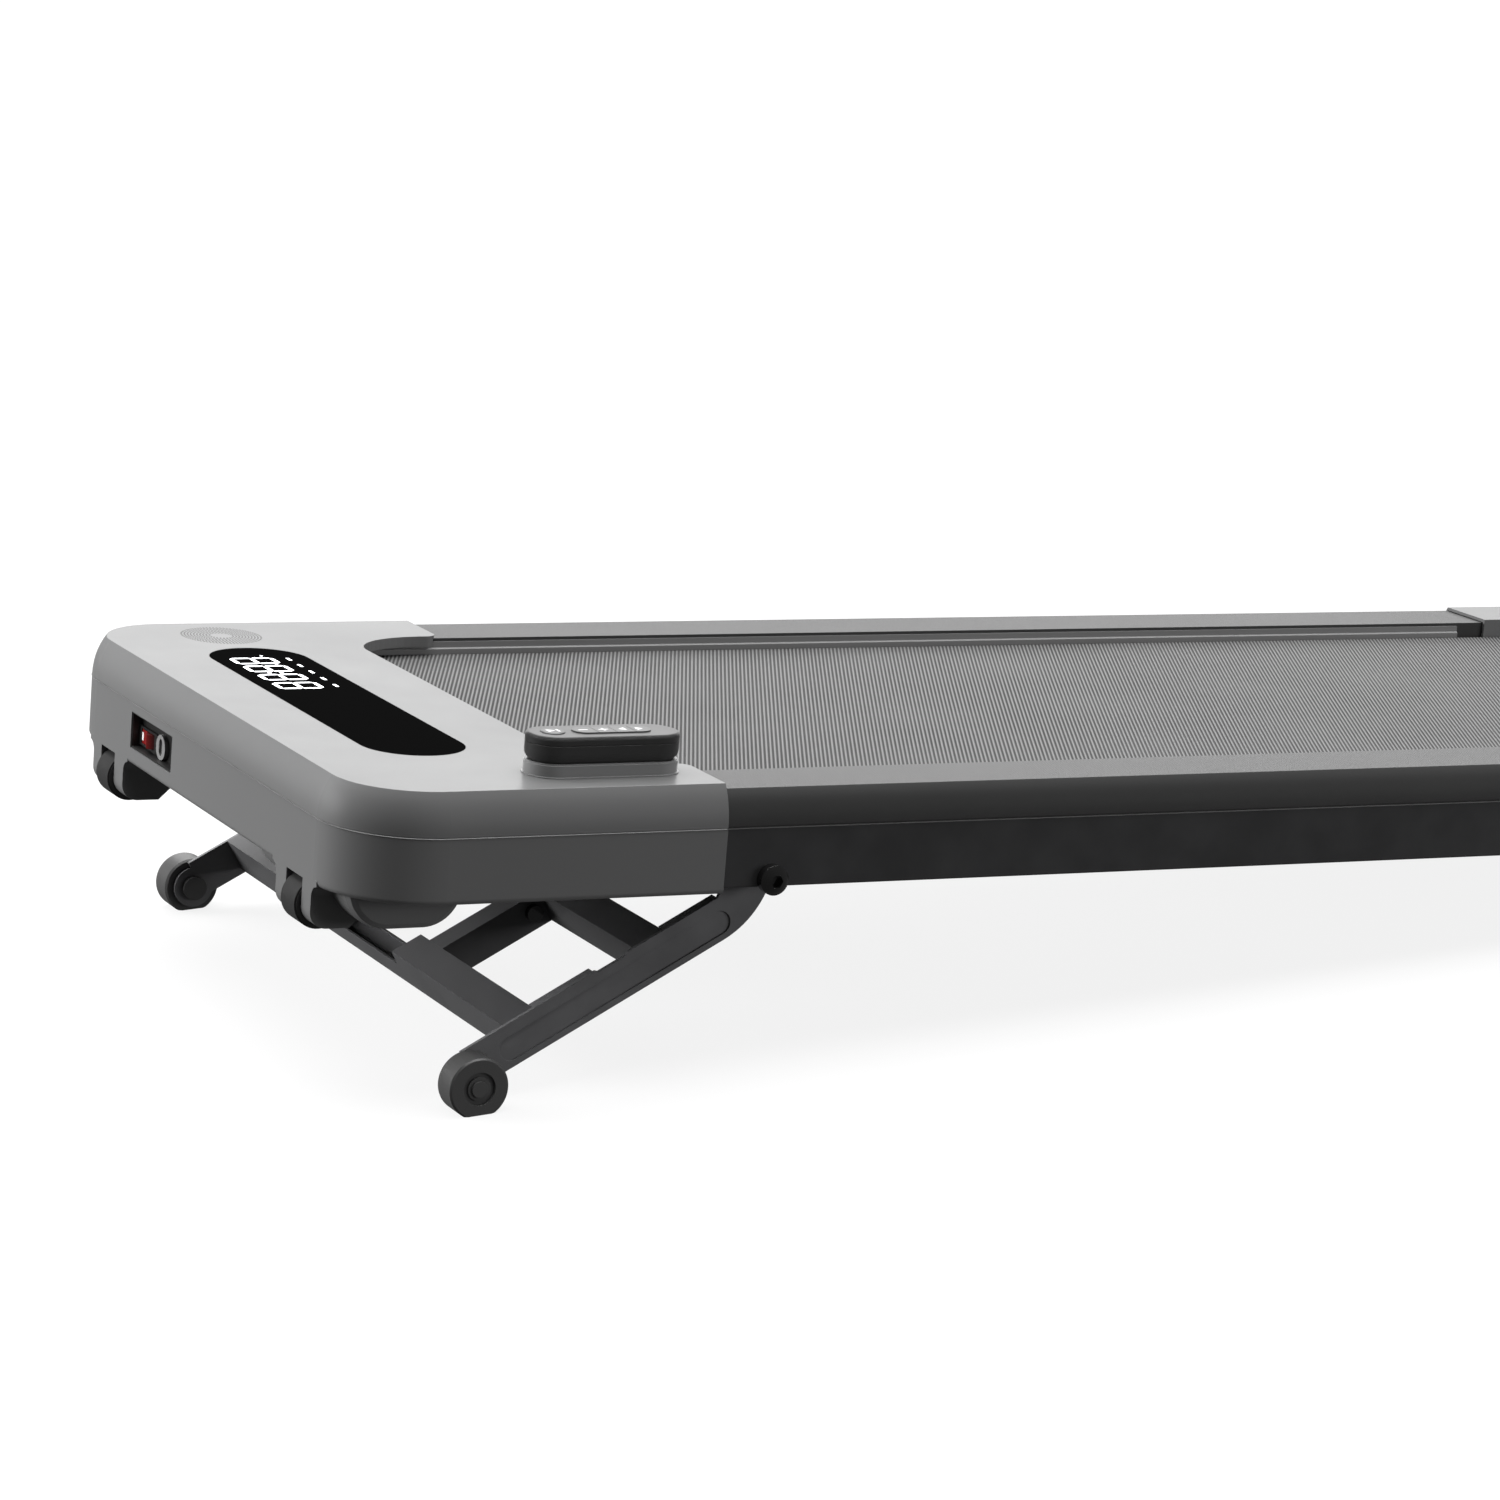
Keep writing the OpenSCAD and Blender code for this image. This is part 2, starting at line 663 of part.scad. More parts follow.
module drive_motor() {
    color("#4c4e51") placed() difference() {
        union() {
            rod_y(motor_x, motor_z, motor_r, motor_y[0] + 10, motor_y[1] - 12);
            rod_y(motor_x, motor_z, motor_r - 2, motor_y[0], motor_y[0] + 10 + bite);
            rod_y(motor_x, motor_z, motor_r - 2, motor_y[1] - 12 - bite, motor_y[1]);
            for (a = [20:40:340]) translate([motor_x, 0, motor_z]) rotate([0, a, 0])
                block([motor_r - 3, motor_y[1] - 12 - bite, -1], [motor_r, motor_y[1] - 2, 1]);
        }
        rod_y(motor_x, motor_z, shaft_r + run_fit, motor_y[0] - 1, motor_y[0] + 14);
    }
}
// Two clamp rings on one foot that hold the motor to the floor plate
module motor_bracket() {
    z0 = pan_z + 2 * pan_t;
    clamp_t = 1.4;
    color("#232426") placed() {
        for (y = [motor_y[0] + 0.2, -106]) along_y(y, y + 4) difference() {
            union() {
                translate([motor_x, motor_z]) circle(motor_r + clamp_t);
                polygon([[motor_x + 20, z0 + 2], [motor_x + 20, 4], [motor_x + 34, 0], [134, z0 + 6], [134, z0], [118, z0], [112, z0 + 2]]);
            }
            translate([motor_x, motor_z]) circle(y < -200 ? motor_r - 2 : motor_r);
        }
        block([118, motor_y[0] + 0.2, z0], [134, -102, z0 + 3]);
    }
}
module motor_pulley() {
    color("#9a9da0") placed() {
        rod_y(motor_x, motor_z, motor_pulley_r, pulley_y[0], pulley_y[1]);
        rod_y(motor_x, motor_z, motor_pulley_r + 2, pulley_y[1] - bite, pulley_y[1] + 1.8);
        rod_y(motor_x, motor_z, shaft_r, pulley_y[1], motor_y[0] + 12);
    }
}
// Closed belt round the motor pulley and the roller pulley
module drive_belt() {
    color("#141415") placed() along_y(pulley_y[0] + 1, pulley_y[1] - 1) difference() {
        belt_loop(belt2_t);
        belt_loop(0);
    }
}

// Outline of the drive belt round both pulleys, in short straight steps
module belt_loop(extra) {
    steps = 28;
    widen = 1 / cos(4);
    r1 = (motor_pulley_r + run_fit + extra) * widen;
    r2 = (roller_pulley_r + run_fit + extra) * widen;
    dx = front_roller_x - motor_x;
    dz = roller_z - motor_z;
    lean = atan2(dz, dx);
    open_a = acos((motor_pulley_r - roller_pulley_r) / sqrt(dx * dx + dz * dz));
    turn1 = (360 - 2 * open_a) / steps;
    turn2 = 2 * open_a / steps;
    polygon(concat(
        [for (i = [0:steps]) [motor_x + r1 * cos(lean + open_a + i * turn1), motor_z + r1 * sin(lean + open_a + i * turn1)]],
        [for (i = [0:steps]) [front_roller_x + r2 * cos(lean - open_a + i * turn2), roller_z + r2 * sin(lean - open_a + i * turn2)]]));
}
// Motor control board with its large parts, on four posts
module control_board() {
    z0 = pan_z + 2 * pan_t;
    color("#1f5a3a") placed() translate([0, 0, z0]) {
        block([74, 60, 4], [132, 200, 5.6]);
        for (x = [78, 128]) for (y = [64, 196]) rod_z(x, y, 0, 4 + bite, 2.5);
        for (y = [82, 104]) rod_z(88, y, 5.4, 33, 9);
        block([106, 70, 5.4], [128, 128, 24]);
        block([80, 122, 5.4], [98, 142, 22]);
        block([80, 150, 5.4], [122, 166, 14]);
        block([80, 176, 5.4], [92, 192, 16]);
        rod_z(112, 184, 5.4, 20, 7);
    }
}

// Transport wheel with a tyre groove and a hub
module transport_wheel(s) {
    y0 = s * wheel_y - wheel_w / 2;
    y1 = s * wheel_y + wheel_w / 2;
    difference() {
        union() {
            rod_y(wheel_x, wheel_z, wheel_r, y0 + 1.5, y1 - 1.5);
            rod_y(wheel_x, wheel_z, wheel_r - 1.2, y0 + 0.4, y1 - 0.4);
            rod_y(wheel_x, wheel_z, 6, y0, y1);
        }
        rod_y(wheel_x, wheel_z, axle_r + run_fit, y0 - 1, y1 + 1);
        for (y = [y0, y1]) difference() {
            rod_y(wheel_x, wheel_z, 13, y - 2, y + 2);
            rod_y(wheel_x, wheel_z, 7, y - 3, y + 3);
        }
    }
}
module transport_wheel_left() { color("#1c1c1d") placed() transport_wheel(-1); }
module transport_wheel_right() { color("#1c1c1d") placed() transport_wheel(1); }
module wheel_axles() {
    reach = slot_w / 2 + 9;
    color("#8d9092") placed() for (s = [-1, 1])
        rod_y(wheel_x, wheel_z, axle_r, s * wheel_y - reach, s * wheel_y + reach);
}

// Frame of the leg: x points from the foot to the pivot, z square to the arm
module leg_frame() {
    placed() translate([pivot_x, 0, pivot_z]) rotate([0, -leg_slope, 0]) children();
}
// Side view of an arm
module arm_plan() {
    low = tube_v - arm_w;
    bend_r = 66;
    end_u = foot_u - 4.6;
    difference() {
        union() {
            circle(18);
            translate([-end_u, low]) square([end_u - 40, arm_w]);
            intersection() {
                translate([-40, low + bend_r]) circle(bend_r);
                translate([-41, low]) square([41, arm_w]);
            }
            polygon([[-32, tube_v], [-13, 12], [-8, tube_v - 2], [-32, tube_v - 2]]);
            translate([-foot_u, foot_v]) circle(15);
        }
        polygon([[-131, tube_v + 1], [-128, tube_v - 1.6], [-107, tube_v - 1.6], [-101, tube_v + 1]]);
    }
}
module leg_arm() {
    lip_t = 2.5;
    difference() {
        union() {
            along_y(arm_in, arm_y) arm_plan();
            for (e = [[-75, -32], [-178.4, -131]])
                block([e[0], arm_in - 6.5, tube_v - lip_t], [e[1], arm_in + bite, tube_v]);
        }
        along_y(arm_y - 1.2, arm_y + 1) translate([0, -19.5]) stadium(-foot_u + 36.5, -38, 8.3);
        rod_y(0, 0, pivot_bolt_r + run_fit, arm_in - 1, arm_y + 1);
        rod_y(-foot_u, foot_v, 5.5, arm_in - 1, arm_y + 1);
    }
}
module leg_arm_left() { color("#3c3d3f") leg_frame() mirror([0, 1, 0]) leg_arm(); }
module leg_arm_right() { color("#3c3d3f") leg_frame() leg_arm(); }
// Square tube across the leg between the two arms
module leg_tube(u) {
    difference() {
        block([-u - tube, -arm_in, tube_v - tube], [-u, arm_in, tube_v]);
        block([-u - tube + tube_wall, -arm_in - 1, tube_v - tube + tube_wall], [-u - tube_wall, arm_in + 1, tube_v - tube_wall]);
    }
}
module leg_lower_tube() {
    u = lower_u;
    color("#2b2c2e") leg_frame() difference() {
        leg_tube(u);
        along_y(-66, 66) polygon([[-u - tube - 1, tube_v + 1], [-u - tube - 1, tube_v - 9.5], [-u + 1, tube_v - 21.8], [-u + 1, tube_v + 1]]);
    }
}
module leg_upper_tube() { color("#2b2c2e") leg_frame() leg_tube(upper_u); }
module leg_struts() {
    u0 = upper_u + tube;
    color("#2b2c2e") leg_frame() both_sides() difference() {
        block([-lower_u, strut_y[0], tube_v - tube], [-u0, strut_y[1], tube_v]);
        block([-lower_u - 1, strut_y[0] + tube_wall, tube_v - tube + tube_wall], [-u0 + 1, strut_y[1] - tube_wall, tube_v - tube_wall]);
        rod_y(-u0 - 10, -14.5, 3, strut_y[0] - 1, strut_y[1] + 1);
    }
}
module leg_strut_bolts() {
    u = upper_u + tube + 10;
    color("#141415") leg_frame() both_sides() {
        rod_y(-u, -14.5, 3, strut_y[0] - 4, strut_y[1] + 2);
        translate([-u, strut_y[1], -14.5]) rotate([-90, 0, 0]) cylinder(r = 6, h = 5);
        translate([-u, strut_y[0] - 4, -14.5]) rotate([-90, 0, 0]) cylinder(r = 6, h = 4, $fn = 6);
    }
}
// Slotted fork on the upper tube for the cross pin of the rod
module leg_actuator_lug() {
    u0 = upper_u + tube;
    color("#2b2c2e") leg_frame() difference() {
        union() {
            block([-u0 - 2.5, -26, tube_v - tube], [-u0, 26, tube_v]);
            both_sides() along_y(10, 14) {
                translate([-lug_u, lug_v]) circle(9);
                polygon([[-u0 - 2, tube_v], [-u0 - 2, -25], [-lug_u - 3, lug_v - 8.4], [-lug_u, lug_v], [-lug_u + 2, lug_v + 8.7]]);
            }
        }
        along_y(-15, 15) translate([-lug_u, lug_v]) rotate(slot_lean) translate([0, -slot_side])
            stadium(0, slot_run, act_pin_r + slot_fit);
    }
}
// Pivot of the leg: domed bolt, distance bush and nut
module pivot_bolts() {
    color("#151516") placed() both_sides() translate([pivot_x, 0, pivot_z]) difference() {
        union() {
            rod_y(0, 0, pivot_bolt_r, arm_in - 7, beam_y + 2);
            rod_y(0, 0, 9, arm_y + 0.4, beam_y - beam_wall);
            rod_y(0, 0, 9, arm_in - 7.5, arm_in - 0.4);
            intersection() {
                rod_y(0, 0, head_r, beam_y, beam_y + 10.4);
                translate([0, beam_y - 4.6, 0]) sphere(15);
            }
        }
        translate([0, beam_y + 5, 0]) rotate([-90, 0, 0]) cylinder(r = 4.6, h = 8, $fn = 6);
    }
}
// Round foot with one flat, level with the floor
module foot() {
    back = arm_y + 0.4;
    translate([foot_x, 0, foot_z]) rotate([0, -incline, 0]) difference() {
        union() {
            rod_y(0, 0, foot_r, back + 2, half_w - 1.2);
            translate([0, back, 0]) rotate([-90, 0, 0]) cylinder(r1 = foot_r - 1.3, r2 = foot_r, h = 2 + bite / 20);
            translate([0, half_w - 1.2, 0]) rotate([-90, 0, 0]) cylinder(r1 = foot_r, r2 = foot_r - 1.2, h = 1.2);
        }
        block([-30, back - 1, -30], [30, half_w + 1, -foot_flat]);
        difference() {
            rod_y(0, 0, 11.2, half_w - 1.8, half_w + 1);
            rod_y(0, 0, 8, half_w - 3, half_w - 0.6);
        }
        rod_y(0, 0, 5.5 + run_fit, back - 1, half_w + 1);
    }
}
module foot_left() { color("#252627") placed() mirror([0, 1, 0]) foot(); }
module foot_right() { color("#252627") placed() foot(); }
module foot_pins() {
    color("#303133") leg_frame() both_sides() {
        rod_y(-foot_u, foot_v, 5.5, arm_in - 1, half_w + 0.8);
        rod_y(-foot_u, foot_v, 9, arm_in - 4, arm_in);
    }
}

// Frame of the actuator: x runs from the base pin along the rod
module act_frame() {
    placed() translate([base_x, 0, base_z]) rotate([0, act_tilt, 0]) children();
}
module actuator_bracket() {
    z0 = pan_z + 2 * pan_t;
    color("#26272a") placed() difference() {
        both_sides() {
            along_y(17.2, 20.2) {
                polygon([[base_x - 14, z0], [base_x + 16, z0], [base_x + 7, base_z + 6], [base_x - 7, base_z + 6]]);
                translate([base_x, base_z]) circle(8.5);
            }
            block([base_x - 14, 17.2, z0], [base_x + 16, 34, z0 + 2.5]);
        }
        rod_y(base_x, base_z, act_pin_r, -25, 25);
        block([0, -40, -60], [90, 40, z0]);
    }
}
module actuator_base_pin() {
    color("#8d9092") placed() {
        rod_y(base_x, base_z, act_pin_r, -22.5, 22.5);
        both_sides() rod_y(base_x, base_z, 5, 20.2, 22.5);
    }
}
// Gear block with the motor lying above the screw tube
module actuator_motor() {
    color("#3a3b3d") act_frame() {
        difference() {
            union() {
                block([6, -14.5, -9], [28, 14.5, 40]);
                block([-8, -14.5, -7], [6 + bite, 14.5, 7]);
            }
            rod_y(0, 0, act_pin_r + run_fit, -20, 20);
        }
        rod_x(0, 26, 13.5, 28 - bite, 86);
        rod_x(0, 26, 9, 86 - bite, 90);
    }
}
module actuator_tube() {
    color("#9a9da0") act_frame() difference() {
        union() {
            rod_x(0, 0, 11, 28, 126);
            rod_x(0, 0, 12, 121, 130);
        }
        rod_x(0, 0, 6 + run_fit, 40, 131);
    }
}
module actuator_rod() {
    color("#c9cbcd") act_frame() difference() {
        union() {
            rod_x(0, 0, 6, 76, act_len - 6);
            rod_y(act_len, 0, 8.8, -9.4, 9.4);
        }
        rod_y(act_len, 0, act_pin_r, -10, 10);
    }
}
module actuator_lug_pin() {
    color("#8d9092") act_frame() {
        rod_y(act_len, 0, act_pin_r, -15, 15);
        both_sides() rod_y(act_len, 0, 6.5, 15, 17);
    }
}

// Rubber rear feet with a rocker shaped sole and a small flat
module rear_feet() {
    color("#1a1a1b") placed() both_sides() difference() {
        along_y(half_w - 34, half_w - 3) intersection() {
            translate([rear_foot_x, sole_z]) circle(rear_sole_r);
            translate([rear_foot_x - 24, -rear_foot_z - 1]) square([48, rear_foot_z + 1 - beam_h]);
        }
        translate([rear_foot_x, 0, sole_z]) rotate([0, -incline, 0])
            block([-20, half_w - 40, -rear_sole_r - 2], [20, half_w, -rear_sole_r + sole_flat]);
    }
}

// Bar with round ends in plan for the remote and its cradle
module remote_plan(r, len) {
    translate([remote_x, remote_y]) stadium(-len / 2 + remote_w / 2, len / 2 - remote_w / 2, r);
}
module remote_bar(r, z0, z1) {
    translate([0, 0, z0]) linear_extrude(z1 - z0) remote_plan(r, remote_len);
}
module remote_cradle() {
    r = remote_w / 2;
    color("#aeb0b2") placed() difference() {
        union() {
            remote_bar(r, hood_top_z, cradle_top - 1);
            remote_bar(r - 0.7, cradle_top - 1, cradle_top);
            remote_bar(r + 1.2, hood_top_z, hood_top_z + 0.8);
        }
        remote_bar(r - 3.7, remote_floor, cradle_top + 1);
    }
}
module remote_body() {
    r = remote_w / 2;
    color("#2c2d2f") placed() difference() {
        union() {
            remote_bar(r - 4, remote_floor, cradle_top + 3);
            for (i = [0:4]) remote_bar(r - 3 + 3 * sin(18 * (i + 1)) - 0.1, cradle_top + 1 + i * 1.0, cradle_top + 6 + bite);
            remote_bar(r, cradle_top + 6, remote_seam);
            remote_bar(r - 0.5, remote_seam, remote_seam + 0.6);
            remote_bar(r, remote_seam + 0.6, remote_top - 2);
            for (i = [1:4]) remote_bar(r - 2 + 2 * cos(20 * i), remote_top - 2 - bite, remote_top - 2 + 2 * sin(20 * i));
        }
        remote_bar(r - 2.6, remote_top - face_t, remote_top + 1);
        key_wells(0.3, remote_seam);
    }
}
// Wells under the round button and the row of keys
module key_wells(grow, z0) {
    h = remote_top + 2 - z0;
    translate([remote_x - 36.5, remote_y, z0]) cylinder(r = 8 + grow, h = h);
    translate([remote_x, remote_y, z0]) linear_extrude(h) stadium(-13.9, 25.7, 8.2 + grow);
}
module remote_faceplate() {
    color("#b4b6b8") placed() difference() {
        remote_bar(remote_w / 2 - 2.6, remote_top - face_t, remote_top);
        key_wells(0.3, remote_seam);
    }
}
module remote_round_button() {
    color("#c0c2c4") placed() translate([remote_x - 36.5, remote_y, remote_seam + 1.4]) {
        cylinder(r = 8, h = 5);
        translate([0, 0, 5]) cylinder(r1 = 8, r2 = 7.2, h = 0.5);
    }
}
// One key of the row between two stations
module remote_key(x0, x1) {
    color("#c0c2c4") placed() translate([remote_x, remote_y, remote_seam + 1.4]) linear_extrude(5.5) intersection() {
        stadium(-13.9, 25.7, 8.2);
        translate([x0, -9]) square([x1 - x0, 18]);
    }
}
module remote_key_1() { remote_key(-23, -6.8); }
module remote_key_2() { remote_key(-6.4, 6.5); }
module remote_key_3() { remote_key(6.9, 20.2); }
module remote_key_4() { remote_key(20.6, 35); }

side_beam_left();
side_beam_right();
front_frame();
cross_members();
deck_board();
deck_cushions();
rail_cover_left();
rail_cover_right();
rail_trims();
rear_end_cap_left();
rear_end_cap_right();
hood_top();
hood_base();
display_lens();
display_board();
speaker();
switch_panel();
power_switch_housing();
power_switch_rocker();
cord_grommet();
drive_motor();
motor_bracket();
motor_pulley();
drive_belt();
front_roller();
front_roller_axle();
rear_roller();
rear_roller_axle();
belt_tension_bolts();
running_belt();
control_board();
transport_wheel_left();
transport_wheel_right();
wheel_axles();
leg_arm_left();
leg_arm_right();
leg_lower_tube();
leg_upper_tube();
leg_struts();
leg_strut_bolts();
leg_actuator_lug();
pivot_bolts();
foot_left();
foot_right();
foot_pins();
actuator_bracket();
actuator_base_pin();
actuator_lug_pin();
actuator_motor();
actuator_tube();
actuator_rod();
rear_feet();
remote_cradle();
remote_body();
remote_faceplate();
remote_round_button();
remote_key_1();
remote_key_2();
remote_key_3();
remote_key_4();
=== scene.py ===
import math
import bpy
import bmesh
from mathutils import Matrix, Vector


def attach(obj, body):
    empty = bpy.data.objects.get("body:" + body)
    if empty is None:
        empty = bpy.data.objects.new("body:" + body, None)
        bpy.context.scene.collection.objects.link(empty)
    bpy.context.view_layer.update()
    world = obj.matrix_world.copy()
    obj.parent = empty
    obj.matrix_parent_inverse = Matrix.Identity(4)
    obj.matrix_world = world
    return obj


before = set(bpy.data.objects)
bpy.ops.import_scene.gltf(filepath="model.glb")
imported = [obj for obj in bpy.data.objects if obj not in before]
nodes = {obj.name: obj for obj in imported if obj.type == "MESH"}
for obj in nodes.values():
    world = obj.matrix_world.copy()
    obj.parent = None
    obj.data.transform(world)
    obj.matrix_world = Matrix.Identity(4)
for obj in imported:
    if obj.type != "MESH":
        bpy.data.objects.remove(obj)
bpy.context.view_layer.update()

# The deck frame of the CAD, in mm: x back from the hood's face, y to the walker's right,
# z square to the deck from the hood's seam. The row frame is level with the floor, in metres.
PIVOT_X = 300.0
PIVOT_Z = -35.5
LEG_SLOPE = math.radians(28.4)
FOOT_ALONG = 240.6
FOOT_ACROSS = 21.8
FOOT_FLAT = 17.8
REAR_FOOT_X = 1250.0
REAR_SOLE_Z = -44.4
SOLE_R = 40.0
SOLE_FLAT = 0.5
FRONT_WHEEL_X = 13.5
FRONT_WHEEL_Z = -62.5
WHEEL_R = 17.4
BODY_LEN = 1290.0
CAP_TOP = 28.3
HOOD_TOP = 28.6

foot_x = PIVOT_X - FOOT_ALONG * math.cos(LEG_SLOPE) + FOOT_ACROSS * math.sin(LEG_SLOPE)
foot_z = PIVOT_Z - FOOT_ALONG * math.sin(LEG_SLOPE) - FOOT_ACROSS * math.cos(LEG_SLOPE)
run = REAR_FOOT_X - foot_x
drop = foot_z - REAR_SOLE_Z
rise = FOOT_FLAT - SOLE_R + SOLE_FLAT
incline = math.asin(rise / math.hypot(run, drop)) - math.atan2(drop, run)
INCLINE_COS = math.cos(incline)
INCLINE_SIN = math.sin(incline)
floor_z = REAR_SOLE_Z * INCLINE_COS - REAR_FOOT_X * INCLINE_SIN - SOLE_R + SOLE_FLAT
front_x = FRONT_WHEEL_X * INCLINE_COS + FRONT_WHEEL_Z * INCLINE_SIN - WHEEL_R
rear_x = BODY_LEN * INCLINE_COS + CAP_TOP * INCLINE_SIN
mid_x = (front_x + rear_x) / 2


def turned(direction):
    """A direction of the deck frame, in the row frame."""
    x, y, z = direction
    return Vector((x * INCLINE_COS + z * INCLINE_SIN, y, z * INCLINE_COS - x * INCLINE_SIN))


def placed(point):
    """A point of the deck frame in mm, in the row frame in metres."""
    return (turned(point) - Vector((mid_x, 0, floor_z))) / 1000


class Finish:
    """One material and the nodes that it is made of."""

    def __init__(self, name, edge=0.0005):
        self.material = bpy.data.materials.new(name)
        self.material.use_nodes = True
        self.tree = self.material.node_tree
        self.tree.nodes.clear()
        self.shader = self.tree.nodes.new("ShaderNodeBsdfPrincipled")
        output = self.tree.nodes.new("ShaderNodeOutputMaterial")
        self.tree.links.new(self.shader.outputs[0], output.inputs[0])
        self.place = self.tree.nodes.new("ShaderNodeTexCoord").outputs["Object"]
        self.normal = self.rounded(edge) if edge else None

    def put(self, socket, value):
        if isinstance(value, bpy.types.NodeSocket):
            self.tree.links.new(value, socket)
        else:
            socket.default_value = value

    def rounded(self, radius):
        bevel = self.tree.nodes.new("ShaderNodeBevel")
        bevel.samples = 4
        bevel.inputs["Radius"].default_value = radius
        return bevel.outputs[0]

    def math(self, operation, a, b=0.0):
        node = self.tree.nodes.new("ShaderNodeMath")
        node.operation = operation
        self.put(node.inputs[0], a)
        self.put(node.inputs[1], b)
        return node.outputs[0]

    def noise(self, scale, detail=4.0, roughness=0.55, place=None):
        node = self.tree.nodes.new("ShaderNodeTexNoise")
        self.put(node.inputs["Vector"], place or self.place)
        self.put(node.inputs["Scale"], scale)
        self.put(node.inputs["Detail"], detail)
        self.put(node.inputs["Roughness"], roughness)
        return node.outputs[0]

    def stretched(self, scale):
        node = self.tree.nodes.new("ShaderNodeMapping")
        self.put(node.inputs["Vector"], self.place)
        self.put(node.inputs["Scale"], scale)
        return node.outputs[0]

    def spread(self, value, low, high, start=0.0, end=1.0):
        node = self.tree.nodes.new("ShaderNodeMapRange")
        self.put(node.inputs["Value"], value)
        self.put(node.inputs["From Min"], low)
        self.put(node.inputs["From Max"], high)
        self.put(node.inputs["To Min"], start)
        self.put(node.inputs["To Max"], end)
        return node.outputs[0]

    def mix(self, share, a, b):
        node = self.tree.nodes.new("ShaderNodeMix")
        node.data_type = "RGBA"
        self.put(node.inputs[0], share)
        self.put(node.inputs[6], a)
        self.put(node.inputs[7], b)
        return node.outputs[2]

    def along(self, direction):
        """Distance along a direction of the deck frame, in metres."""
        node = self.tree.nodes.new("ShaderNodeVectorMath")
        node.operation = "DOT_PRODUCT"
        self.put(node.inputs[0], self.place)
        self.put(node.inputs[1], turned(direction))
        return node.outputs["Value"]

    def wave(self, distance, pitch):
        return self.math("SINE", self.math("MULTIPLY", distance, 2 * math.pi / pitch))

    def bump(self, height, strength, distance):
        node = self.tree.nodes.new("ShaderNodeBump")
        self.put(node.inputs["Height"], height)
        self.put(node.inputs["Strength"], strength)
        self.put(node.inputs["Distance"], distance)
        if self.normal:
            self.put(node.inputs["Normal"], self.normal)
        self.normal = node.outputs[0]

    def done(self, color, roughness, metallic=0.0, specular=0.5, coat=0.0):
        sockets = self.shader.inputs
        self.put(sockets["Base Color"], color)
        self.put(sockets["Roughness"], roughness)
        self.put(sockets["Metallic"], metallic)
        self.put(sockets["Specular IOR Level"], specular)
        self.put(sockets["Coat Weight"], coat)
        self.put(sockets["Coat Roughness"], 0.15)
        if self.normal:
            self.put(sockets["Normal"], self.normal)
        return self.material


def shade(value, tint=(1.0, 1.0, 1.0)):
    return (value * tint[0], value * tint[1], value * tint[2], 1.0)


def moulded(name, value, roughness, grain=2600, depth=0.00004, tint=(1, 1, 1), vary=0.05, coat=0.0):
    """Moulded plastic: fine spark-eroded grain, and slight flow marks in colour and gloss."""
    f = Finish(name)
    flow = f.noise(7, 3)
    fine = f.noise(grain, 2, 0.5)
    color = f.mix(flow, shade(value * (1 - vary), tint), shade(value * (1 + vary), tint))
    gloss = f.spread(flow, 0.3, 0.7, roughness - 0.04, roughness + 0.04)
    f.bump(fine, 0.35, depth)
    return f.done(color, f.math("ADD", gloss, f.spread(fine, 0.3, 0.7, -0.02, 0.02)), coat=coat)


def coated_steel(name, value, roughness, grain=1500, depth=0.00006, chips=0.0, specular=0.35):
    """Powder coat: orange peel, a little dust in the colour, and rare rubbed spots."""
    f = Finish(name)
    tint = (1, 1, 1.03)
    peel = f.noise(grain, 3, 0.6)
    dust = f.noise(30, 5)
    color = f.mix(f.spread(dust, 0.35, 0.7), shade(value, tint), shade(value * 1.2 + 0.002, tint))
    rubbed = f.spread(f.noise(90, 6, 0.7), 0.74, 0.8, 0.0, chips)
    color = f.mix(rubbed, color, shade(value + 0.12, tint))
    f.bump(peel, 0.4, depth)
    return f.done(color, f.spread(dust, 0.3, 0.7, roughness - 0.05, roughness + 0.06), specular=specular)


def bare_metal(name, value, roughness, stretch, tint=(1, 1, 1)):
    """Turned or drawn metal with its tool lines."""
    f = Finish(name, 0.0003)
    lines = f.noise(1.0, 3, 0.6, f.stretched(stretch))
    stain = f.noise(60, 4)
    color = f.mix(stain, shade(value * 0.85, tint), shade(value, tint))
    gloss = f.spread(lines, 0.3, 0.7, roughness - 0.06, roughness + 0.08)
    f.bump(lines, 0.25, 0.00003)
    return f.done(color, f.math("ADD", gloss, f.spread(stain, 0.4, 0.7, 0.0, 0.05)), metallic=1.0)


def ribbed_belt():
    """Walking belt: slanting ribs over a woven ground, a little polished where feet land. The rib crests
    carry a painted highlight and the grooves painted shade.
    """
    rib_pitch = 0.00293
    slant = math.radians(26.2)
    weave_pitch = 0.0016
    foot_lane = 0.05
    lane_edge = 0.17
    # painted shade in the grooves and painted highlight on the crests of the ribs
    groove_painted_shade = shade(0.002)
    crest_painted_highlight = shade(0.086)
    dusty = shade(0.08)
    polished = shade(0.13)
    f = Finish("belt_ribbed", 0)
    across = f.along((0, 1, 0))
    rib = f.spread(f.wave(f.along((math.cos(slant), -math.sin(slant), 0)), rib_pitch), -0.45, 0.55)
    weave = f.math("MULTIPLY", f.wave(across, weave_pitch), 0.12)
    fine = f.noise(1900, 3, 0.6)
    mottle = f.math("MULTIPLY", f.spread(f.noise(9, 4), 0.35, 0.7), 0.18)
    worn = f.math("MULTIPLY", f.spread(f.math("ABSOLUTE", across), lane_edge, foot_lane), 0.06)
    # rib colour: painted shade in the grooves, painted highlight on the crests
    color = f.mix(rib, groove_painted_shade, crest_painted_highlight)
    color = f.mix(mottle, color, dusty)
    color = f.mix(f.math("MULTIPLY", worn, rib), color, polished)
    f.bump(f.math("ADD", rib, weave), 0.8, 0.00045)
    f.bump(fine, 0.3, 0.00008)
    gloss = f.math("ADD", f.spread(rib, 0, 1, 0.72, 0.47), f.spread(fine, 0.3, 0.7, -0.04, 0.05))
    return f.done(color, gloss, specular=0.3)


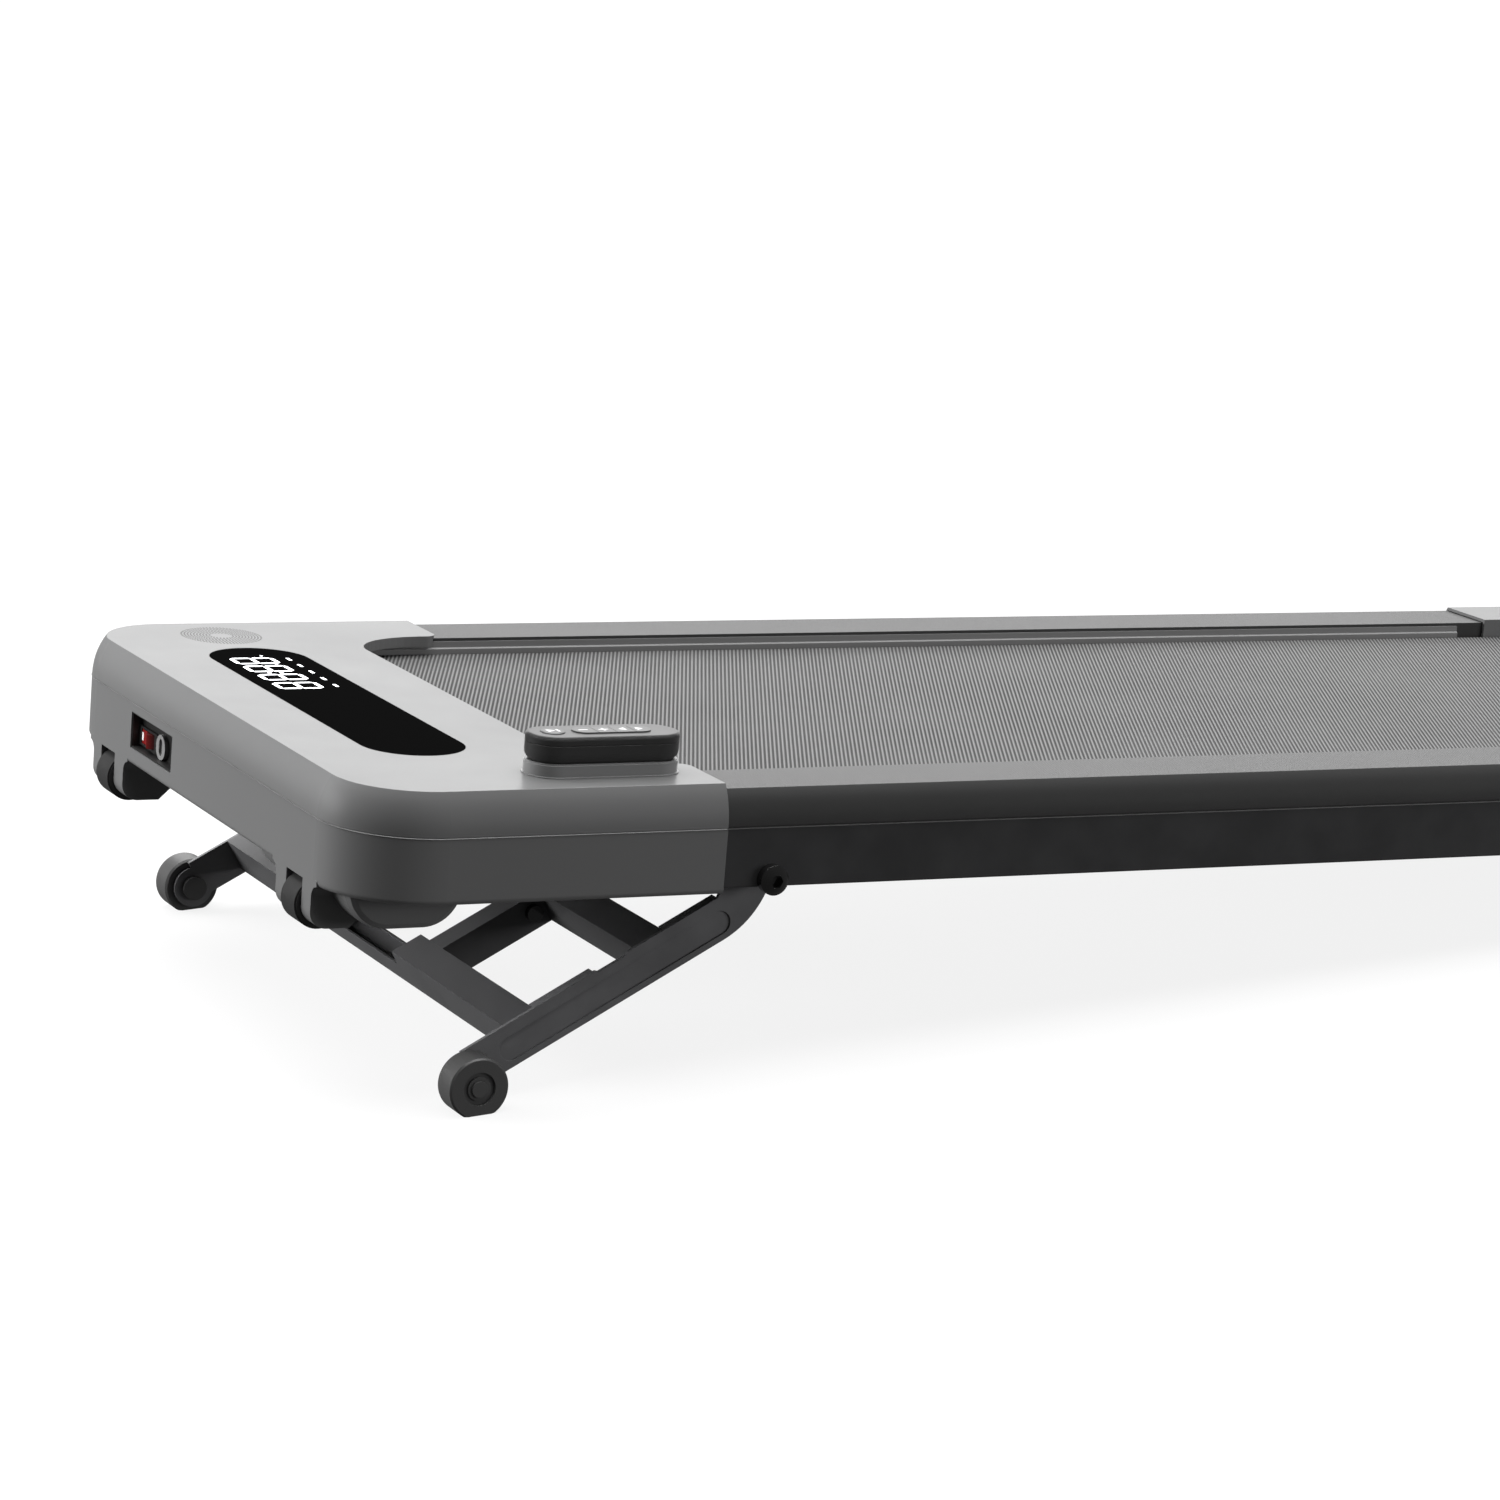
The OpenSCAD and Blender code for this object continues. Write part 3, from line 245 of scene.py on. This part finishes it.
def textured_rail():
    """Rail cover: a fine pyramid texture on the flat top, satin on the rounded side. The pyramid tops carry
    a painted highlight, and the colour darkens down the rounded side as painted shade.
    """
    pitch = 0.0022
    inner_y = 0.222
    outer_y = 0.271
    shoulder_width = 0.009
    border = 0.0005
    f = Finish("rail_textured")
    across = f.math("ABSOLUTE", f.along((0, 1, 0)))
    knurl = f.math("MULTIPLY", f.wave(f.along((1, 0, 0)), pitch), f.wave(across, pitch))
    inside = f.spread(across, outer_y + border, outer_y - border)
    flat = f.math("MULTIPLY", inside, f.spread(across, inner_y - border, inner_y + border))
    # mask of the rounded side: it sets the gloss, and a painted shade that darkens the colour down the side
    shoulder_gloss_and_shade = f.spread(across, outer_y + shoulder_width, outer_y)
    fine = f.noise(2600, 2)
    color = f.mix(f.noise(16, 4), shade(0.020), shade(0.024))
    # painted highlight: the pyramid tops of the flat are lighter in colour
    color = f.mix(f.math("MULTIPLY", flat, f.spread(knurl, 0.1, 0.8, 0.0, 0.6)), color, shade(0.026))
    # painted shade: lighter colour on the flat, darker down the rounded side
    color = f.mix(f.math("MULTIPLY", shoulder_gloss_and_shade, 0.5), color, shade(0.028))
    f.bump(f.math("ADD", f.math("MULTIPLY", knurl, flat), f.math("MULTIPLY", fine, 0.12)), 0.55, 0.00018)
    gloss = f.math("ADD", f.spread(shoulder_gloss_and_shade, 0, 1, 0.30, 0.48), f.spread(fine, 0.3, 0.7, -0.03, 0.03))
    return f.done(color, gloss)


def pressed_wood():
    """Board of pressed fibre with a dark film on its faces."""
    f = Finish("deck_board_face")
    fibre = f.noise(6, 6, 0.7, f.stretched((8, 140, 140)))
    speck = f.noise(900, 3)
    color = f.mix(fibre, (0.014, 0.011, 0.009, 1), (0.034, 0.027, 0.021, 1))
    color = f.mix(f.spread(speck, 0.4, 0.7, 0, 0.4), color, (0.05, 0.04, 0.03, 1))
    f.bump(speck, 0.4, 0.0001)
    return f.done(color, f.spread(fibre, 0.3, 0.7, 0.65, 0.75))


def smoked_lens():
    """Gloss lens with faint dust and swirl marks in its gloss."""
    f = Finish("lens_gloss")
    dust = f.noise(700, 4, 0.7)
    swirl = f.noise(24, 5)
    gloss = f.math("ADD", f.spread(swirl, 0.4, 0.7, 0.10, 0.16), f.spread(dust, 0.62, 0.75, 0.0, 0.12))
    color = f.mix(f.spread(dust, 0.6, 0.8, 0.0, 0.3), shade(0.001), shade(0.003))
    f.bump(swirl, 0.03, 0.0001)
    return f.done(color, gloss, specular=0.0, coat=0.006)


def circuit_board():
    """Green board with copper tracks under the green and rows of tinned pads."""
    rows_per_metre = 300.0
    columns_per_metre = 130.0
    f = Finish("circuit_board")
    rows = f.math("FRACT", f.math("MULTIPLY", f.along((1, 0, 0)), rows_per_metre))
    columns = f.math("FRACT", f.math("MULTIPLY", f.along((0, 1, 0)), columns_per_metre))
    track = f.math("MULTIPLY", f.math("LESS_THAN", rows, 0.3), f.math("GREATER_THAN", f.noise(55, 2), 0.47))
    pad = f.math("MULTIPLY", f.math("LESS_THAN", columns, 0.25), f.math("LESS_THAN", rows, 0.5))
    color = f.mix(f.noise(18), (0.008, 0.07, 0.03, 1), (0.014, 0.10, 0.045, 1))
    color = f.mix(f.math("MULTIPLY", track, 0.6), color, (0.03, 0.2, 0.09, 1))
    color = f.mix(f.math("MULTIPLY", pad, 0.5), color, (0.5, 0.4, 0.15, 1))
    f.bump(track, 0.4, 0.00006)
    return f.done(color, f.spread(track, 0, 1, 0.45, 0.3))


def lit_figures():
    """Bars of a lit display, a little uneven from cell to cell."""
    f = Finish("display_glow", 0)
    cells = f.noise(400, 2)
    f.put(f.shader.inputs["Emission Color"], f.mix(cells, (0.85, 0.92, 1.0, 1), (1, 1, 1, 1)))
    f.put(f.shader.inputs["Emission Strength"], 1.6)
    f.bump(cells, 0.05, 0.00001)
    return f.done(f.mix(cells, shade(0.7), shade(0.85)), f.spread(cells, 0.3, 0.7, 0.35, 0.45))


silver = moulded("hood_silver_satin", 0.097, 0.34, vary=0.02, depth=0.00003, tint=(1.0, 1.005, 1.01))
cradle_silver = moulded("cradle_silver_gloss", 0.13, 0.24, vary=0.03, depth=0.00002,
                        tint=(1.0, 1.005, 1.01))
beam_coat = coated_steel("beam_powder_coat", 0.024, 0.34, grain=1300)
frame_coat = coated_steel("frame_black_paint", 0.016, 0.5, chips=0.5)
# the leg frame has one powder coat: the tubes' copy is darker as painted shade, the arms' copy lighter as
# painted light
leg_coat_painted_shade = coated_steel("leg_powder_coat_painted_shade", 0.048, 0.40, grain=1100, depth=0.00009, chips=0.15)
arm_coat_painted_light = coated_steel("arm_powder_coat_painted_light", 0.095, 0.40, grain=1100, depth=0.00009, chips=0.15)
motor_coat = coated_steel("motor_grey_paint", 0.10, 0.4, chips=0.3)
black_bolt = moulded("bolt_gloss_black", 0.006, 0.09, grain=900, depth=0.00002, coat=0.5)
zinc = bare_metal("bolt_zinc", 0.62, 0.35, (700, 700, 700), (0.97, 0.98, 1.0))
turned_steel = bare_metal("roller_turned", 0.6, 0.3, (60, 3500, 60))
alloy = bare_metal("actuator_alloy", 0.65, 0.3, (30, 2500, 2500))
rubber = moulded("rubber_matt", 0.022, 0.72, grain=1500, depth=0.0001, vary=0.2)
drive_rubber = moulded("drive_belt_rubber", 0.015, 0.6, grain=1200, vary=0.2)
black_plastic = moulded("plastic_black", 0.012, 0.45, vary=0.15)
wheel_plastic = moulded("wheel_plastic", 0.020, 0.38, grain=1900, vary=0.15)
pin_plastic = moulded("foot_pin_grey", 0.050, 0.35, grain=1300, depth=0.00004, vary=0.1)
foot_plastic = moulded("foot_plastic", 0.048, 0.40, grain=1500, depth=0.00007, vary=0.12)
trim_plastic = moulded("trim_light_grey", 0.14, 0.45, vary=0.06)
grommet_plastic = moulded("grommet_light_grey", 0.13, 0.5, vary=0.05)
rocker_plastic = moulded("rocker_red", 0.13, 0.22, tint=(1.0, 0.05, 0.05), vary=0.12, coat=0.4)
case_plastic = moulded("actuator_case", 0.05, 0.5)
remote_plastic = moulded("remote_dark_satin", 0.020, 0.38, grain=3200, depth=0.00003, vary=0.1)
face_plastic = moulded("remote_face_dark", 0.040, 0.40, grain=3000, depth=0.00003, vary=0.06)
key_plastic = moulded("remote_keys", 0.052, 0.38, grain=3000, vary=0.06)
mark_plastic = moulded("remote_marks_white", 0.60, 0.4, vary=0.03)
# near-black discs in place of the speaker holes: the black speaker behind, and painted shade of the holes'
# insides
hole_black_and_painted_shade = moulded("speaker_hole_dark", 0.03, 0.8, vary=0.2)
belt_cloth = ribbed_belt()
rail_plastic = textured_rail()
board_wood = pressed_wood()
lens = smoked_lens()
board_green = circuit_board()
figure_light = lit_figures()

finishes = {
    cradle_silver: ["remote_cradle"],
    silver: ["hood_top", "hood_base", "rear_end_cap_left", "rear_end_cap_right"],
    beam_coat: ["side_beam_left", "side_beam_right"],
    frame_coat: ["front_frame", "cross_members", "motor_bracket", "actuator_bracket"],
    arm_coat_painted_light: ["leg_arm_left", "leg_arm_right"],
    leg_coat_painted_shade: ["leg_lower_tube", "leg_upper_tube", "leg_struts", "leg_actuator_lug"],
    motor_coat: ["drive_motor"],
    black_bolt: ["leg_strut_bolts", "pivot_bolts"],
    pin_plastic: ["foot_pins"],
    zinc: ["front_roller_axle", "rear_roller_axle", "belt_tension_bolts", "wheel_axles",
           "actuator_base_pin", "actuator_lug_pin", "actuator_rod"],
    turned_steel: ["motor_pulley", "front_roller", "rear_roller"],
    alloy: ["actuator_tube"],
    rubber: ["deck_cushions", "rear_feet"],
    drive_rubber: ["drive_belt"],
    black_plastic: ["speaker", "switch_panel", "power_switch_housing"],
    wheel_plastic: ["transport_wheel_left", "transport_wheel_right"],
    foot_plastic: ["foot_left", "foot_right"],
    trim_plastic: ["rail_trims"],
    grommet_plastic: ["cord_grommet"],
    rocker_plastic: ["power_switch_rocker"],
    case_plastic: ["actuator_motor"],
    remote_plastic: ["remote_body"],
    face_plastic: ["remote_faceplate"],
    key_plastic: ["remote_round_button", "remote_key_1", "remote_key_2", "remote_key_3", "remote_key_4"],
    belt_cloth: ["running_belt"],
    rail_plastic: ["rail_cover_left", "rail_cover_right"],
    board_wood: ["deck_board"],
    lens: ["display_lens"],
    board_green: ["display_board", "control_board"],
}
for finish, names in finishes.items():
    for name in names:
        for slot in nodes[name].material_slots:
            slot.material = finish


def piece(name, mesh, finish, body):
    """Turns a bmesh in the deck frame into a piece that rides on a body."""
    for vertex in mesh.verts:
        vertex.co = placed(vertex.co)
    bmesh.ops.recalc_face_normals(mesh, faces=mesh.faces)
    data = bpy.data.meshes.new(name)
    mesh.to_mesh(data)
    mesh.free()
    data.materials.append(finish)
    made = bpy.data.objects.new(name, data)
    bpy.context.scene.collection.objects.link(made)
    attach(made, body)


def plate(mesh, outline, z, thick):
    """A thin plate with a slightly drawn-in upper edge, from an outline in x and y."""
    middle_x = sum(x for x, y in outline) / len(outline)
    middle_y = sum(y for x, y in outline) / len(outline)
    rings = []
    for share, height in ((1.0, 0.0), (1.0, thick * 0.6), (0.97, thick)):
        ring = [(middle_x + (x - middle_x) * share, middle_y + (y - middle_y) * share) for x, y in outline]
        rings.append([mesh.verts.new((x, y, z + height)) for x, y in ring])
    count = len(outline)
    for low, high in zip(rings, rings[1:]):
        for i in range(count):
            j = (i + 1) % count
            mesh.faces.new((low[i], low[j], high[j], high[i]))
    mesh.faces.new(rings[-1])
    mesh.faces.new(list(reversed(rings[0])))


def disc(mesh, x, y, z, radius, thick, sides=14):
    steps = [2 * math.pi * i / sides for i in range(sides)]
    plate(mesh, [(x + radius * math.cos(a), y + radius * math.sin(a)) for a in steps], z, thick)


def display_figures():
    """Four figures with every bar lit, read by a person on the belt, with a colon and label dashes."""
    top_x = 73.0
    foot_of_figure_x = 106.5
    figures_y = ((41, 62), (70, 90), (98, 119), (125, 146))
    colon_y = 94
    point_x = 101
    dashes_y = (49, 72, 95, 117, 139)
    dash_top_x = 116.2
    dash_foot_x = 118.4
    dash_half = 4
    bar_width = 3.0
    gap = 0.5
    z = HOOD_TOP + 0.01
    thick = 0.12
    half = bar_width / 2
    mesh = bmesh.new()

    def bar_across(x, y0, y1):
        low = y0 + gap
        high = y1 - gap
        plate(mesh, [(x, low), (x - half, low + half), (x - half, high - half), (x, high),
                     (x + half, high - half), (x + half, low + half)], z, thick)

    def bar_down(y, x0, x1):
        low = x0 + gap
        high = x1 - gap
        plate(mesh, [(low, y), (low + half, y - half), (high - half, y - half), (high, y),
                     (high - half, y + half), (low + half, y + half)], z, thick)

    middle_x = (top_x + foot_of_figure_x) / 2
    for y0, y1 in figures_y:
        for x in (top_x + half, middle_x, foot_of_figure_x - half):
            bar_across(x, y0 + half, y1 - half)
        for y in (y0 + half, y1 - half):
            bar_down(y, top_x + half, middle_x)
            bar_down(y, middle_x, foot_of_figure_x - half)
    for x in (85, 94):
        disc(mesh, x, colon_y, z, 1.6, thick)
    for y in (121.5, 152):
        disc(mesh, point_x, y, z, 1.2, thick)
    for y in dashes_y:
        plate(mesh, [(dash_top_x, y - dash_half), (dash_top_x, y + dash_half),
                     (dash_foot_x, y + dash_half), (dash_foot_x, y - dash_half)], z, thick)
    piece("display_figures", mesh, figure_light, "chassis")


def speaker_holes():
    """Small holes in rings round an empty middle, drawn as near-black discs on the hood top: the black
    speaker behind them, and painted shade of the holes' insides.
    """
    middle = (98.0, 225.5)
    inner_r = 8.8
    outer_r = 29.3
    ring_step = 2.27
    hole_step = 2.5
    hole_r = 0.75
    hole_thick = 0.05
    hole_sides = 8
    sunk = 0.02
    mesh = bmesh.new()
    for ring in range(int((outer_r - inner_r) / ring_step) + 1):
        radius = inner_r + ring * ring_step
        count = int(2 * math.pi * radius / hole_step)
        for i in range(count):
            a = 2 * math.pi * (i + 0.5 * (ring % 2)) / count
            disc(mesh, middle[0] + radius * math.cos(a), middle[1] + radius * math.sin(a),
                 HOOD_TOP - sunk, hole_r, hole_thick, hole_sides)
    piece("speaker_holes", mesh, hole_black_and_painted_shade, "chassis")


def key_mark(name, body, outlines):
    """A white mark on the top of one of the remote's keys, from outlines about the remote's middle."""
    middle_x = 193.7
    middle_y = -227.5
    key_top = 56.88
    thick = 0.1
    mesh = bmesh.new()
    for outline in outlines:
        plate(mesh, [(middle_x + x, middle_y + y) for x, y in outline], key_top, thick)
    piece(name, mesh, mark_plastic, body)


def bar(x, y, half_x, half_y):
    """Outline of a bar from its middle, half length and half width."""
    return [(x - half_x, y - half_y), (x + half_x, y - half_y),
            (x + half_x, y + half_y), (x - half_x, y + half_y)]


def remote_marks():
    """Start, less, more, up and down."""
    key_mark("mark_start", "round_button",
             [[(-40.6, -3.4), (-34.6, 0), (-40.6, 3.4)], bar(-32.8, 0, 0.7, 3.4)])
    key_mark("mark_less", "key_1", [bar(-14.6, 0, 3.4, 0.7)])
    key_mark("mark_more", "key_2",
             [bar(0.1, 0, 3.4, 0.7), bar(0.1, 2.1, 0.7, 1.3), bar(0.1, -2.1, 0.7, 1.3)])
    key_mark("mark_up", "key_3", [[(16, -3.4), (16, 3.4), (11, 0)]])
    key_mark("mark_down", "key_4", [[(24, -3.4), (29, 0), (24, 3.4)]])


def skin(mesh, rings):
    """Joins rings of as many points each to a closed skin."""
    count = len(rings[0])
    for ring, after in zip(rings, rings[1:]):
        for i in range(count):
            j = (i + 1) % count
            mesh.faces.new((ring[i], ring[j], after[j], after[i]))
    mesh.faces.new(rings[0])
    mesh.faces.new(list(reversed(rings[-1])))


def edge_line(name, path, top_z, finish):
    """A fine lip along a seam: its sloped face catches light from above."""
    sunk = -0.3
    proud = 0.35
    section = ((sunk, top_z), (proud, top_z - 0.65), (proud, top_z - 0.8), (sunk, top_z - 1.1))
    mesh = bmesh.new()
    rings = []
    for x, y, out_x, out_y in path:
        rings.append([mesh.verts.new((x + out_x * out, y + out_y * out, z)) for out, z in section])
    skin(mesh, rings)
    piece(name, mesh, finish, "chassis")


def seam_lips():
    """The lower shell's lip round the hood, and the rolled upper edge of each side beam, drawn in light
    grey trim plastic as a painted highlight on the black beam.
    """
    half_width = 280.0
    corner_r = 66.0
    hood_end = 264.5
    beam_face = half_width - 1
    beam_end = BODY_LEN - 68.5
    seam_z = -0.05
    middle_y = half_width - corner_r
    steps = 16
    path = [(hood_end, -half_width, 0, -1)]
    for side in (-1, 1):
        for i in range(steps + 1):
            a = math.radians(90) * (i / steps if side < 0 else 1 - i / steps)
            out_x = -math.sin(a)
            out_y = side * math.cos(a)
            path.append((corner_r + corner_r * out_x, side * middle_y + corner_r * out_y, out_x, out_y))
    path.append((hood_end, half_width, 0, 1))
    edge_line("hood_seam_lip", path, seam_z, silver)
    # painted highlight: the beams' rolled edges get the light grey trim plastic
    for name, side in (("beam_edge_painted_highlight_left", -1), ("beam_edge_painted_highlight_right", 1)):
        ends = [(x, side * beam_face, 0, side) for x in (hood_end + 1, beam_end)]
        edge_line(name, ends, seam_z, trim_plastic)


def rocker_mark():
    """A white bar on the pressed half of the power switch's rocker."""
    pivot_x = 12.0
    pivot_y = 118.5
    middle_z = -23.0
    tip = math.radians(12)
    half_height = 3.0
    rocker_half = 12.6
    face_x = -6.4
    face_rise = 2.7
    near_y = 7.0
    far_y = 9.6
    near = (face_x - face_rise * near_y / rocker_half, near_y)
    far = (face_x - face_rise * far_y / rocker_half, far_y)
    mesh = bmesh.new()
    rings = []
    for lift, shrink in ((0.05, 0.0), (-0.08, 0.0), (-0.12, 0.15)):
        ring = []
        for (x, y), z in ((near, -1), (far, -1), (far, 1), (near, 1)):
            y += shrink if y == near_y else -shrink
            place_x = pivot_x + (x + lift) * math.cos(tip) + y * math.sin(tip)
            place_y = pivot_y - (x + lift) * math.sin(tip) + y * math.cos(tip)
            ring.append(mesh.verts.new((place_x, place_y, middle_z + z * (half_height - shrink))))
        rings.append(ring)
    skin(mesh, rings)
    piece("rocker_mark", mesh, mark_plastic, "power_rocker")


display_figures()
speaker_holes()
remote_marks()
seam_lips()
rocker_mark()


def studio_floor():
    """A pale floor that glows, so that shadows stay faint, and that doesn't light the object from below."""
    half_size = 60
    glow = 0.86
    just_below = -0.0002
    f = Finish("floor_pale", 0)
    f.bump(f.noise(200), 0.05, 0.0002)
    cloud = f.noise(3, 4)
    f.put(f.shader.inputs["Emission Color"], shade(1.0))
    f.put(f.shader.inputs["Emission Strength"], glow)
    f.done(f.mix(cloud, shade(0.085), shade(0.090)), f.spread(cloud, 0.3, 0.7, 0.75, 0.85), specular=0.0)
    mesh = bmesh.new()
    bmesh.ops.create_grid(mesh, x_segments=4, y_segments=4, size=half_size)
    data = bpy.data.meshes.new("floor")
    mesh.to_mesh(data)
    mesh.free()
    data.materials.append(f.material)
    floor = bpy.data.objects.new("floor", data)
    floor.location.z = just_below
    floor.visible_diffuse = False
    floor.visible_glossy = False
    bpy.context.scene.collection.objects.link(floor)


def soft_light(name, place, aim, width, height, power, in_gloss):
    """A soft panel, which shows in glossy surfaces only if in_gloss is set."""
    data = bpy.data.lights.new(name, "AREA")
    data.shape = "RECTANGLE"
    data.size = width
    data.size_y = height
    data.energy = power
    light = bpy.data.objects.new(name, data)
    bpy.context.scene.collection.objects.link(light)
    light.location = place
    light.visible_camera = False
    light.visible_glossy = in_gloss
    light.rotation_mode = "QUATERNION"
    light.rotation_quaternion = (Vector(aim) - Vector(place)).to_track_quat("-Z", "Y")


def soft_sun(towards, strength, spread):
    """A wide even light from one direction, which lights the whole floor alike."""
    data = bpy.data.lights.new("sky_panel", "SUN")
    data.energy = strength
    data.angle = math.radians(spread)
    light = bpy.data.objects.new("sky_panel", data)
    bpy.context.scene.collection.objects.link(light)
    light.rotation_mode = "QUATERNION"
    light.rotation_quaternion = Vector(towards).to_track_quat("Z", "Y")


def studio_light():
    """A dim even sky, a wide sun from above and three soft panels."""
    sky_strength = 0.11
    world = bpy.data.worlds.new("studio")
    bpy.context.scene.world = world
    world.use_nodes = True
    sky = world.node_tree.nodes["Background"]
    sky.inputs["Color"].default_value = (1.0, 1.0, 1.0, 1.0)
    sky.inputs["Strength"].default_value = sky_strength
    soft_sun((0.15, 0.2, 1.0), 8.3, 74)
    soft_light("back", (1.9, 3.6, 1.5), (0, 0, 0.15), 5.0, 2.0, 58, True)
    soft_light("front", (-3.0, 2.3, 0.9), (-0.5, 0.1, 0.15), 3.0, 1.4, 345, False)
    soft_light("side", (2.6, -3.0, 0.5), (-0.2, -0.2, 0.1), 3.0, 1.2, 102, False)
    bpy.context.scene.view_settings.view_transform = "Standard"


def studio_camera():
    """The camera as fitted on the straight edges in the photograph."""
    aim = Vector((-0.178, 0.0803, 0.12))
    azimuth = math.radians(-26.686)
    elevation = math.radians(14.324)
    distance = 3.5515
    level = math.cos(elevation)
    back = Vector((math.sin(azimuth) * level, -math.cos(azimuth) * level, math.sin(elevation)))
    data = bpy.data.cameras.new("camera")
    data.sensor_width = 36.0
    data.lens = 114.498
    data.clip_start = 0.1
    camera = bpy.data.objects.new("camera", data)
    bpy.context.scene.collection.objects.link(camera)
    camera.location = aim + back * distance
    camera.rotation_mode = "QUATERNION"
    camera.rotation_quaternion = back.to_track_quat("Z", "Y")
    bpy.context.scene.camera = camera


studio_floor()
studio_light()
studio_camera()
